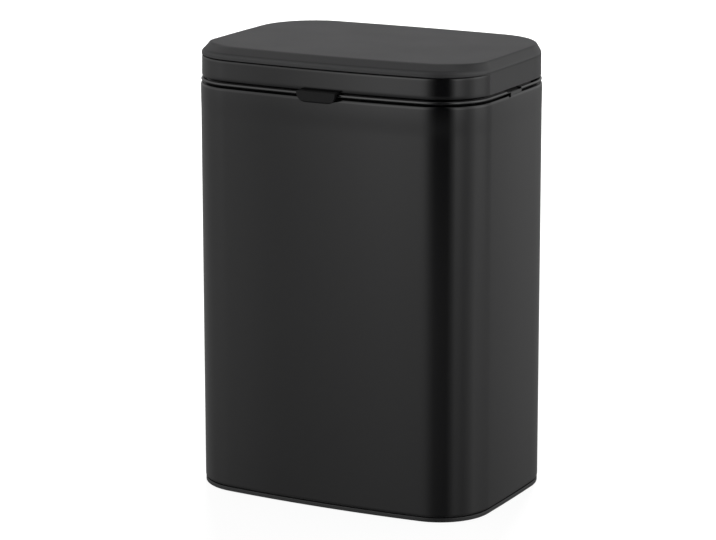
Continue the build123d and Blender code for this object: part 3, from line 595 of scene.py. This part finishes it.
deep, high = rim_section[:, 0], rim_section[:, 1]
groove = (deep > SLEEVE_INSET + NEARLY) & (high < BEAD_BOTTOM + NEARLY)
under_bead = (high > BEAD_BOTTOM - NEARLY) & (high < BEAD_BOTTOM + BEAD_UNDER_ROUND + NEARLY)
rim_inset[np.ix_(in_lug, outside & (groove | under_bead))] = BEAD_INSET
rim_shell = grid(swept(rim_section, inset=rim_inset, height=rim_height))
piece("rim", [rim_shell], "bin", "rim_plastic", ["rim_frame"])

# %% [markdown]
# ## Lid
# The lid is a shallow moulded cover. Its wall bends into a bevel, wide at the front and narrow
# along the sides, and a soft crease parts the bevel from the level top. A Bevel modifier has
# one width all round, so two sections with the same number of points are worked out, and every
# station mixes them by where it faces. The front of the skirt is recessed for the metal band,
# and the recess runs out round the corners. Over the hinge, the skirt is pressed up.

# %% Lid cover
LID_INSET = 0.8
LID_WALL = 2.6
COVER_WALL = 2.1
FLAT = LID_TOP - 0.8
SIDE_BEND = LID_TOP - 7.4
FRONT_BEND = LID_TOP - 5.0
SIDE_REACH = 3.8
FRONT_REACH = 12.4
SIDE_RADII = (5.0, 2.5)
FRONT_RADII = (3.0, 12.0)
FRONT_SPREAD = 60.0
INNER_STEP = 0.9
BAND_THICKNESS = 1.0
BAND_LINE = 0.9
BAND_SEAT = 0.3
LINE_ROUND = 0.3
LINE_DEPTH = 1.8
LINE_LEAN = 0.5
SKIRT_ROUND = 0.4
CORNER_RECESS = 0.1
LEAST_RECESS = 0.001
RECESS_STOP = 0.1
TOUCHING = 1e-6
TOP_INSET = 37.0
WINDOW_TOP = LID_TOP - 7.7
LINE_TOP = BAND_TOP + BAND_LINE


def cover_section(reach, bend_level, bend, crease):
    """Lid section from the middle of the top, down outside and up again inside.

    The bevel runs in by reach from bend_level to the top; bend and crease are its two radii.
    """
    edge = LID_INSET + reach
    inner = max(edge + COVER_WALL / 2, LID_INSET + LID_WALL + INNER_STEP)
    return rounded([
        (TOP_INSET, FLAT, 0, 0),
        (edge, FLAT, 0, crease),
        (LID_INSET, bend_level, 0, bend),
        (LID_INSET, LINE_TOP, 0, LINE_ROUND),
        (LID_INSET + LINE_DEPTH - LINE_LEAN, LINE_TOP, 0, 0),
        (LID_INSET + LINE_DEPTH + LINE_LEAN, BAND_TOP - BAND_SEAT, 0, 0),
        (LID_INSET + BAND_THICKNESS, BAND_TOP - BAND_SEAT, 0, 0),
        (LID_INSET + BAND_THICKNESS, LID_BOTTOM, 0, SKIRT_ROUND),
        (LID_INSET + LID_WALL, LID_BOTTOM, 0, SKIRT_ROUND),
        (LID_INSET + LID_WALL, bend_level - COVER_WALL, 0, bend / 2),
        (inner, FLAT - COVER_WALL, 0, crease / 2),
        (TOP_INSET, FLAT - COVER_WALL, 0, 0),
    ], steps=10)


side_section = cover_section(SIDE_REACH, SIDE_BEND, *SIDE_RADII)
front_section = cover_section(FRONT_REACH, FRONT_BEND, *FRONT_RADII)
# How far a station faces the front: 1 there, 0 at the sides and the rear, a smooth step between
facing = np.degrees(np.arctan2(np.abs(normals[:, 0]), -normals[:, 1]))
mix = np.clip((90.0 - facing) / FRONT_SPREAD, 0, 1)
mix = mix**2 * (3 - 2 * mix)
lid_section = side_section[None] + mix[:, None, None] * (front_section - side_section)[None]
# The recess is as deep as the band at the front, and shallower the more a station faces aside
recess = np.where(near_plan[:, 1] < BAND_END, np.maximum(-normals[:, 1], CORNER_RECESS), LEAST_RECESS)
deep, high = side_section[:, 0], side_section[:, 1]
in_recess = (high < LINE_TOP + LINE_ROUND + NEARLY) & (deep > LID_INSET + TOUCHING)
in_recess &= deep < LID_INSET + LID_WALL - RECESS_STOP
lid_inset = lid_section[:, :, 0].copy()
lid_inset[:, in_recess] = LID_INSET + (deep[in_recess] - LID_INSET)[None] * recess[:, None]
lid_height = pressed(lid_section[:, :, 1], WINDOW_TOP, in_window, -1)
lid_points = swept(side_section, inset=lid_inset, height=lid_height)
lid_grid = grid(lid_points, round_columns=False, caps="poles")
piece("lid_cover", [lid_grid], "lid", "lid_plastic", ["lid_shell"])

# %% [markdown]
# ## Band
# A strip of the same painted steel is let into the lid's front. It thins all the way round each
# corner and ends where the corner meets the side, so in plan it is a thin crescent. It is swept
# like the lid, over the stations of the recess alone, so that both share every corner.

# %% Lid band
BAND_DRAFT = 0.3
BAND_FIT = 0.02
THINNEST = 0.05
BAND_LOWER_EDGE = (0.35, -2.6)
BAND_UPPER_EDGE = (0.6, 1.6)
LOWER_GUARD = 3.1
UPPER_GUARD = 2.0
INNER_GUARD = 0.1
front_rows = np.flatnonzero(near_plan[:, 1] < BAND_END)
split = int(np.flatnonzero(np.diff(front_rows) > 1)[0]) + 1
front_rows = np.concatenate([front_rows[split:], front_rows[:split]])
band_section = np.vstack([
    quarter(0, LID_BOTTOM, *BAND_LOWER_EDGE)[::-1],
    [(0, LID_BOTTOM + LOWER_GUARD, 0), (BAND_DRAFT, BAND_TOP - UPPER_GUARD, 0)],
    quarter(BAND_DRAFT, BAND_TOP, *BAND_UPPER_EDGE),
    [(BAND_THICKNESS, BAND_TOP - INNER_GUARD, 0), (BAND_THICKNESS, LID_BOTTOM + INNER_GUARD, 0)],
])
band_depth = np.maximum(recess - BAND_FIT, THINNEST)
band_inset = LID_INSET + band_section[:, 0][None] * band_depth[:, None]
band_points = swept(band_section, inset=band_inset)[front_rows]
band_grid = grid(band_points, round_rows=False, caps="ends")
piece("lid_band_strip", [band_grid], "lid", "coated_steel", ["lid_band"])

# %% [markdown]
# ## Bucket
# The bucket is a deep tapered moulding, drawn in so that it leaves its tool, with a flange to
# hang by and round corners at its bottom. It is swept round the stepped plan, so that it clears
# the hinge. Two ears stand up at the sides for the bail: flat plates with a round outline.

# %% Inner bucket
BUCKET_RECESS = 19.8
BUCKET_TOP = RIM_TOP - BUCKET_RECESS
FLANGE_THICKNESS = 2.0
FLANGE_INSET = 6.0
WALL_INSET = 11.4
FOOT_INSET = 18.0
BUCKET_WALL = 1.8
bucket_section = rounded([
    (TOP_INSET, BUCKET_BOTTOM, 1, 0),
    (FOOT_INSET, BUCKET_BOTTOM, 1, 8.0),
    (WALL_INSET, BUCKET_TOP - FLANGE_THICKNESS, 1, 0.8),
    (FLANGE_INSET, BUCKET_TOP - FLANGE_THICKNESS, 1, 0.5),
    (FLANGE_INSET, BUCKET_TOP, 1, 0.8),
    (WALL_INSET + BUCKET_WALL, BUCKET_TOP, 1, 1.0),
    (FOOT_INSET + BUCKET_WALL, BUCKET_BOTTOM + BUCKET_WALL, 1, 7.0),
    (TOP_INSET, BUCKET_BOTTOM + BUCKET_WALL, 1, 0),
])

# %% Ears


def plate(outline, near, far, edge):
    """A plate from near to far in x: outline (y, z) − edge × (1 − sin t) × normal at its edges."""
    tangent = np.roll(outline, -1, axis=0) - np.roll(outline, 1, axis=0)
    normal = np.stack([tangent[:, 1], -tangent[:, 0]], axis=1)
    normal /= np.linalg.norm(normal, axis=1)[:, None]
    turn = np.linspace(0, math.pi / 2, 4)
    inset = np.concatenate([edge * (1 - np.sin(turn)), edge * (1 - np.cos(turn))])
    x = np.concatenate([near + edge * (1 - np.cos(turn)), far - edge * (1 - np.sin(turn))])
    flat = outline[None] - inset[:, None, None] * normal[None]
    depth = np.broadcast_to(x[:, None, None], (*flat.shape[:2], 1))
    return grid(np.dstack([depth, flat]), round_rows=False, caps="ends")


PIVOT_Y = -4.0
EAR_LENGTH = 18.0
EAR_THICKNESS = 3.6
EAR_GAP = 0.2
EAR_ROUND = 6.0
EAR_EDGE = 0.5
EAR_ROOT = BUCKET_TOP - 1.5
EAR_TOP = RIM_TOP - EAR_GAP
EAR_X = WIDTH / 2 - FLANGE_INSET - EAR_GAP
ear_outline = rounded([
    (PIVOT_Y - EAR_LENGTH / 2, EAR_ROOT, 0.3),
    (PIVOT_Y + EAR_LENGTH / 2, EAR_ROOT, 0.3),
    (PIVOT_Y + EAR_LENGTH / 2, EAR_TOP, EAR_ROUND),
    (PIVOT_Y - EAR_LENGTH / 2, EAR_TOP, EAR_ROUND),
])
ears = [
    plate(ear_outline, EAR_X - EAR_THICKNESS, EAR_X, EAR_EDGE),
    plate(ear_outline, -EAR_X, EAR_THICKNESS - EAR_X, EAR_EDGE),
]
bucket_shell = grid(swept(bucket_section), round_columns=False, caps="poles")
piece("bucket", [bucket_shell, *ears], "bucket", "bucket_plastic", ["inner_bucket"])

# %% [markdown]
# ## Bail
# The bucket's handle is a bent wire. A curve with a round bevel would do, but its ends would
# stay open, so the wire is a circle carried along a path: at each point of the path the circle
# lies square to it, spanned by the upward direction and the sideways one. The grip is a plastic
# sleeve, turned about the wire, with a collar at each end.

# %% Wire handle
BAIL_RADIUS = 2.0
BAIL_BEND = 3.2
BAIL_CORNER = 40.0
grip_low, grip_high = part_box("bail_grip")
BAIL_Z = level("bail_handle", 0) + BAIL_RADIUS
BAIL_END_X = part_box("bail_handle")[1][0] / MM
BAIL_SIDE_X = 108.45
BAIL_FRONT_Y = ((grip_low[1] + grip_high[1]) / 2 - MIDDLE_Y) / MM


def tube(path, radius, sides=24):
    """A circle carried along a flat path: point + r cos(a) × sideways + r sin(a) × up."""
    tangent = np.gradient(path, axis=0)
    tangent /= np.linalg.norm(tangent, axis=1)[:, None]
    up = np.array([0.0, 0.0, 1.0])
    sideways = np.cross(tangent, up)
    turn = np.linspace(0, 2 * math.pi, sides, endpoint=False)
    ring = np.cos(turn)[None, :, None] * sideways[:, None] + np.sin(turn)[None, :, None] * up
    return grid(path[:, None] + radius * ring, round_rows=False, caps="ends")


bail_path = rounded([
    (BAIL_END_X, PIVOT_Y, BAIL_Z, 0),
    (BAIL_SIDE_X, PIVOT_Y, BAIL_Z, BAIL_BEND),
    (BAIL_SIDE_X, BAIL_FRONT_Y, BAIL_Z, BAIL_CORNER),
    (-BAIL_SIDE_X, BAIL_FRONT_Y, BAIL_Z, BAIL_CORNER),
    (-BAIL_SIDE_X, PIVOT_Y, BAIL_Z, BAIL_BEND),
    (-BAIL_END_X, PIVOT_Y, BAIL_Z, 0),
], steps=16)
piece("bail_wire", [tube(bail_path, BAIL_RADIUS)], "bail", "screw_steel", ["bail_handle"])

# %% Grip
GRIP_RADIUS = 4.5
GRIP_HALF = 42.0
GRIP_BORE = 2.4
GRIP_COLLAR = 5.0
COLLAR_SLOPE = 1.5
COLLAR_RISE = 0.5


def turned(profile, centre, axis, sides=40):
    """A profile (along, radius) turned about an axis: centre + along × axis + radius × ring."""
    axis = unit(np.asarray(axis, float))
    side = unit(np.cross(axis, (0.3, 0.5, 0.8)))
    other = np.cross(axis, side)
    turn = np.linspace(0, 2 * math.pi, sides, endpoint=False)
    ring = np.cos(turn)[:, None] * side + np.sin(turn)[:, None] * other
    points = profile[None, :, :1] * axis + profile[None, :, 1:] * ring[:, None] + np.asarray(centre, float)
    return grid(points, round_columns=False, caps="poles")


collar_end = GRIP_HALF - GRIP_COLLAR
waist = (collar_end - COLLAR_SLOPE, GRIP_RADIUS - COLLAR_RISE)
grip_profile = rounded([
    (-GRIP_HALF, GRIP_BORE, 0),
    (-GRIP_HALF, GRIP_RADIUS, 1.2),
    (-collar_end, GRIP_RADIUS, 1.0),
    (-waist[0], waist[1], 1.0),
    (waist[0], waist[1], 1.0),
    (collar_end, GRIP_RADIUS, 1.0),
    (GRIP_HALF, GRIP_RADIUS, 1.2),
    (GRIP_HALF, GRIP_BORE, 0),
])
grip = turned(grip_profile, (0, BAIL_FRONT_Y, BAIL_Z), (1, 0, 0))
piece("bail_grip_sleeve", [grip], "bail", "tab_plastic", ["bail_grip"])

# %% [markdown]
# ## Pieces that keep their CAD shape
# Brackets, hinge housing, liner and finger tab are exact in the model, holes and all. Only their
# edges are too sharp for real parts. Modelling them again would only lose their fit, so a copy
# of each is merged, its flat triangles are joined and a narrow Bevel modifier breaks its edges.
# A Weighted Normal modifier then keeps the large faces flat in the light.

# %% Softened copies
MERGE_DISTANCE = 1e-7
FLAT_WITHIN = math.radians(0.5)


def softened(node, body, slot, width, segments=2):
    """A merged copy of a CAD node with its sharp edges bevelled by width mm."""
    work = bmesh.new()
    work.from_mesh(nodes[node].data)
    bmesh.ops.remove_doubles(work, verts=work.verts, dist=MERGE_DISTANCE)
    bmesh.ops.dissolve_limit(work, angle_limit=FLAT_WITHIN, verts=work.verts, edges=work.edges)
    mesh = bpy.data.meshes.new(node + "_soft")
    work.to_mesh(mesh)
    work.free()
    made = bpy.data.objects.new(node + "_soft", mesh)
    bpy.context.scene.collection.objects.link(made)
    bevel = made.modifiers.new("broken edges", "BEVEL")
    bevel.width = width * MM
    bevel.segments = segments
    bevel.limit_method = "ANGLE"
    bevel.angle_limit = SHARP
    flat = made.modifiers.new("flat faces stay flat", "WEIGHTED_NORMAL")
    flat.weight = 100
    flat.keep_sharp = True
    mesh.materials.clear()
    mesh.materials.append(MATERIALS[slot])
    mesh.shade_smooth()
    mesh.set_sharp_from_angle(angle=SHARP)
    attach(made, body)
    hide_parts(node)
    print(made.name, len(mesh.polygons), "faces")
    return made


softened("finger_tab", "lid", "tab_plastic", 0.5, 3)
softened("lid_liner", "lid", "black_plastic", 0.4)
softened("hinge_housing", "bin", "black_plastic", 0.4)
softened("hanger_plate", "bin", "zinc_steel", 0.25)
softened("wall_bracket", "wall", "zinc_steel", 0.3)

# %% [markdown]
# ## Small parts
# Screws, rivets, bumpers, buffers, the pin with its bush, the damper, the bucket ring and the
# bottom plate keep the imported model's own meshes: they are small or hidden, and already round
# where the real ones are. They only need the finish that the record names for each of them.

# %% Finishes of the other nodes
slot_of = {row["node"]: row["material_slot"] for row in frame["record"]["subparts"]}
for name, node in nodes.items():
    if not node.data.materials:
        node.data.materials.append(None)
    for place in node.material_slots:
        place.material = MATERIALS[slot_of[name]]
print("nodes with a finish", len(slot_of))

# %% [markdown]
# ## Studio
# The bin is shown on white, with its foot on a pale floor. A satin black coat is seen almost
# only by what it reflects, so the room matters more than the lamps: tall soft boxes to the front
# left and to the right, and a dim gap between them, which draws the dark stripe down the corner.
# They could be modelled as glowing cards, but cards would also light the floor. So the room is
# a brightness by direction in the world, which only glossy rays see; the camera sees white.

# %% Floor
FLOOR_HALF = 6.0
FLOOR_GAP = 0.5 * MM
# To the camera most of the paper glows, so that it stays white, and the rest takes the shadow
PAPER_GLOW = 1.08
PAPER_SHARE = 0.85
floor_mesh = bpy.data.meshes.new("floor")
corners = [(-1, -1), (1, -1), (1, 1), (-1, 1)]
spots = [(x * FLOOR_HALF, y * FLOOR_HALF, FOOT_Z - FLOOR_GAP) for x, y in corners]
floor_mesh.from_pydata(spots, [], [(0, 1, 2, 3)])
floor = bpy.data.objects.new("floor", floor_mesh)
bpy.context.scene.collection.objects.link(floor)
floor.visible_glossy = False
paper = bpy.data.materials.new("white paper floor")
paper.use_nodes = True
tree = paper.node_tree
tree.nodes.clear()
sheet = add(tree, "ShaderNodeBsdfDiffuse", {"Color": linear("#f6f6f6")})
white = add(tree, "ShaderNodeEmission", {"Strength": PAPER_GLOW})
ray = add(tree, "ShaderNodeLightPath").outputs["Is Camera Ray"]
share = add(tree, "ShaderNodeMath", {"operation": "MULTIPLY", 0: ray, 1: PAPER_SHARE}).outputs[0]
mixed = add(tree, "ShaderNodeMixShader", {0: share, 1: sheet.outputs[0], 2: white.outputs[0]})
add(tree, "ShaderNodeOutputMaterial", Surface=mixed.outputs[0])
floor_mesh.materials.append(paper)

# %% [markdown]
# ## The room in the reflections
# The room's brightness is worked out from the direction of a ray: a ramp by its turn round the
# bin, times a ramp by its height. From a little below level upwards, the soft boxes glow more
# and the gap less, so a third ramp says how far each direction leans to that, and a fourth from
# which height on. The stops were chosen going by how bright the coat is in the picture,
# until it showed the same stripes. Rays that aren't glossy see one even grey, which lights the
# matt mouldings from all sides.

# %% The room as seen by the coat
AMBIENT = 0.55
HALF_TURN = 180.0
LEAN_LOW, LEAN_SPAN = -2.0, 3.0
# Degrees from straight ahead of the bin towards +x, and how bright the room is there
ROOM = [
    (-180, 0.25), (-130, 0.23), (-83, 0.46), (-51, 0.7), (-39, 0.7), (-34, 0.52), (-20, 0.7), (-5, 0.6),
    (3, 0.44), (12, 0.27), (20, 0.22), (40, 0.18), (48, 0.36), (56, 0.62), (64, 0.6), (74, 0.5), (83, 0.57),
    (101, 0.9), (124, 0.63), (151, 0.33), (157, 0.44), (180, 0.22),
]
# How much of the upper glow each direction has: about 1 at a soft box, below 0 in the dark gap
LEAN = [
    (-180, 0.0), (-100, 0.0), (-50, 0.2), (-36, 0.0), (-21, 1.2), (-8, 0.5), (3, -0.8), (16, -1.95),
    (40, -1.95), (48, -0.3), (58, 1.2), (72, 0.8), (83, 0.0), (96, 0.1), (111, 0.7), (124, 0.7), (137, 0.0),
    (154, 0.6), (180, 0.0),
]
# Sine of the height, and how bright the room is there: dim below, brightest from level up to
# about 20 degrees, dimmer again overhead
HEIGHTS = [
    (-1, 0.4), (-0.5, 0.5), (-0.32, 0.65), (-0.296, 0.77), (-0.27, 0.9), (-0.24, 1.0), (-0.17, 1.0),
    (-0.1, 1.4), (0.0, 1.8), (0.35, 1.7), (1, 0.9),
]
# Sine of the height, and how much the lean counts there
GLOW = [(-1, 0.0), (-0.24, 0.0), (-0.17, 0.5), (1, 0.5)]

world = bpy.data.worlds.new("studio")
bpy.context.scene.world = world
world.use_nodes = True
tree = world.node_tree
tree.nodes.clear()
direction = add(tree, "ShaderNodeTexCoord").outputs["Generated"]
parts = add(tree, "ShaderNodeSeparateXYZ", Vector=direction).outputs
ahead = add(tree, "ShaderNodeMath", {"operation": "MULTIPLY", 0: parts["Y"], 1: -1.0}).outputs[0]
turn = add(tree, "ShaderNodeMath", {"operation": "ARCTAN2", 0: parts["X"], 1: ahead}).outputs[0]
around = add(tree, "ShaderNodeMapRange", {"From Min": -math.pi, "From Max": math.pi}, Value=turn)
up = add(tree, "ShaderNodeMapRange", {"From Min": -1.0, "From Max": 1.0}, Value=parts["Z"])

# A ramp holds nothing below 0, so the lean is moved above it here and moved back after the ramp
raised = [(angle, (share - LEAN_LOW) / LEAN_SPAN) for angle, share in LEAN]
greys = []
for source, reach, points in [
    (around, HALF_TURN, ROOM), (around, HALF_TURN, raised), (up, 1.0, HEIGHTS), (up, 1.0, GLOW),
]:
    ramp = add(tree, "ShaderNodeValToRGB", Fac=source.outputs["Result"])
    stops = ramp.color_ramp.elements
    while len(stops) < len(points):
        stops.new(0.5)
    for stop, (value, bright) in zip(stops, points):
        stop.position = (value + reach) / (2 * reach)
        stop.color = (bright, bright, bright, 1.0)
    greys.append(ramp.outputs["Color"])
by_turn, by_lean, by_height, by_glow = greys

lean = add(tree, "ShaderNodeMath", {"operation": "MULTIPLY_ADD", 0: by_lean, 1: LEAN_SPAN, 2: LEAN_LOW})
glow = add(tree, "ShaderNodeMath", {"operation": "MULTIPLY_ADD", 0: lean.outputs[0], 1: by_glow, 2: 1.0})
plain = add(tree, "ShaderNodeMath", {"operation": "MULTIPLY", 0: by_turn, 1: by_height})
room = add(tree, "ShaderNodeMath", {"operation": "MULTIPLY", 0: plain.outputs[0], 1: glow.outputs[0]})

ray = add(tree, "ShaderNodeLightPath").outputs
seen = add(tree, "ShaderNodeMix", {
    "data_type": "FLOAT", "Factor": ray["Is Glossy Ray"], "A": AMBIENT, "B": room.outputs[0],
})
final = add(tree, "ShaderNodeMix", {
    "data_type": "FLOAT", "Factor": ray["Is Camera Ray"], "A": seen.outputs["Result"], "B": 1.0,
})
background = add(tree, "ShaderNodeBackground", {"Strength": 1.0}, Color=final.outputs["Result"])
add(tree, "ShaderNodeOutputWorld", Surface=background.outputs[0])
print("stops in the room", len(ROOM), len(LEAN), len(HEIGHTS), len(GLOW))

# %% [markdown]
# ## Lamps
# One softbox hangs behind the bin and above it. It skims the lid, so that its level top is
# bright and the bevel, which tips to the front, is darker: that is what shows the crease. A
# weak one fills in from the right. Sun or spot lamps would draw hard edges that the picture
# doesn't have.

# %% Lamps


def lamp(name, place, aim, size, power):
    """A square area lamp in metres and watts, turned to a point, kept out of reflections."""
    light = bpy.data.lights.new(name, "AREA")
    light.size = size
    light.energy = power
    made = bpy.data.objects.new(name, light)
    made.location = place
    made.rotation_euler = (Vector(aim) - Vector(place)).to_track_quat("-Z", "Y").to_euler()
    made.visible_glossy = False
    bpy.context.scene.collection.objects.link(made)
    print("lamp", name, power, "W")


lamp("softbox behind", (-1.0, 2.2, 1.15), (0, -0.1, 0.1), 1.2, 200)
lamp("side softbox", (1.5, -1.0, 0.5), (0, -0.1, -0.1), 1.4, 2)

# %% [markdown]
# ## Camera
# The camera stands where the photograph was taken from: to the right of the front and a little
# above it, about 2.4 metres away with a long lens, so that the bin's sides stay nearly parallel.
# Its angles, distance and lens were fitted to the outline and seams of the bin in the picture.

# %% Camera
AZIMUTH = math.radians(27.469)
ELEVATION = math.radians(13.201)
DISTANCE = 2.4105
FOCAL_PIXELS = 3100.4
IMAGE_WIDTH, IMAGE_HEIGHT = 716, 540
PRINCIPAL = (372.966, 262.703)
SENSOR = 36.0

target = Vector((0.0, MIDDLE_Y, FOOT_Z + LID_TOP * MM / 2))
back = Vector((
    math.sin(AZIMUTH) * math.cos(ELEVATION), -math.cos(AZIMUTH) * math.cos(ELEVATION), math.sin(ELEVATION),
))
camera_data = bpy.data.cameras.new("camera")
camera_data.sensor_width = SENSOR
camera_data.lens = FOCAL_PIXELS * SENSOR / IMAGE_WIDTH
camera_data.shift_x = (IMAGE_WIDTH / 2 - PRINCIPAL[0]) / IMAGE_WIDTH
camera_data.shift_y = (PRINCIPAL[1] - IMAGE_HEIGHT / 2) / IMAGE_WIDTH
camera = bpy.data.objects.new("camera", camera_data)
camera.location = target + back * DISTANCE
camera.rotation_euler = (-back).to_track_quat("-Z", "Y").to_euler()
bpy.context.scene.collection.objects.link(camera)
bpy.context.scene.camera = camera
bpy.context.scene.view_settings.view_transform = "Standard"
print("lens", round(camera_data.lens, 2), "mm")
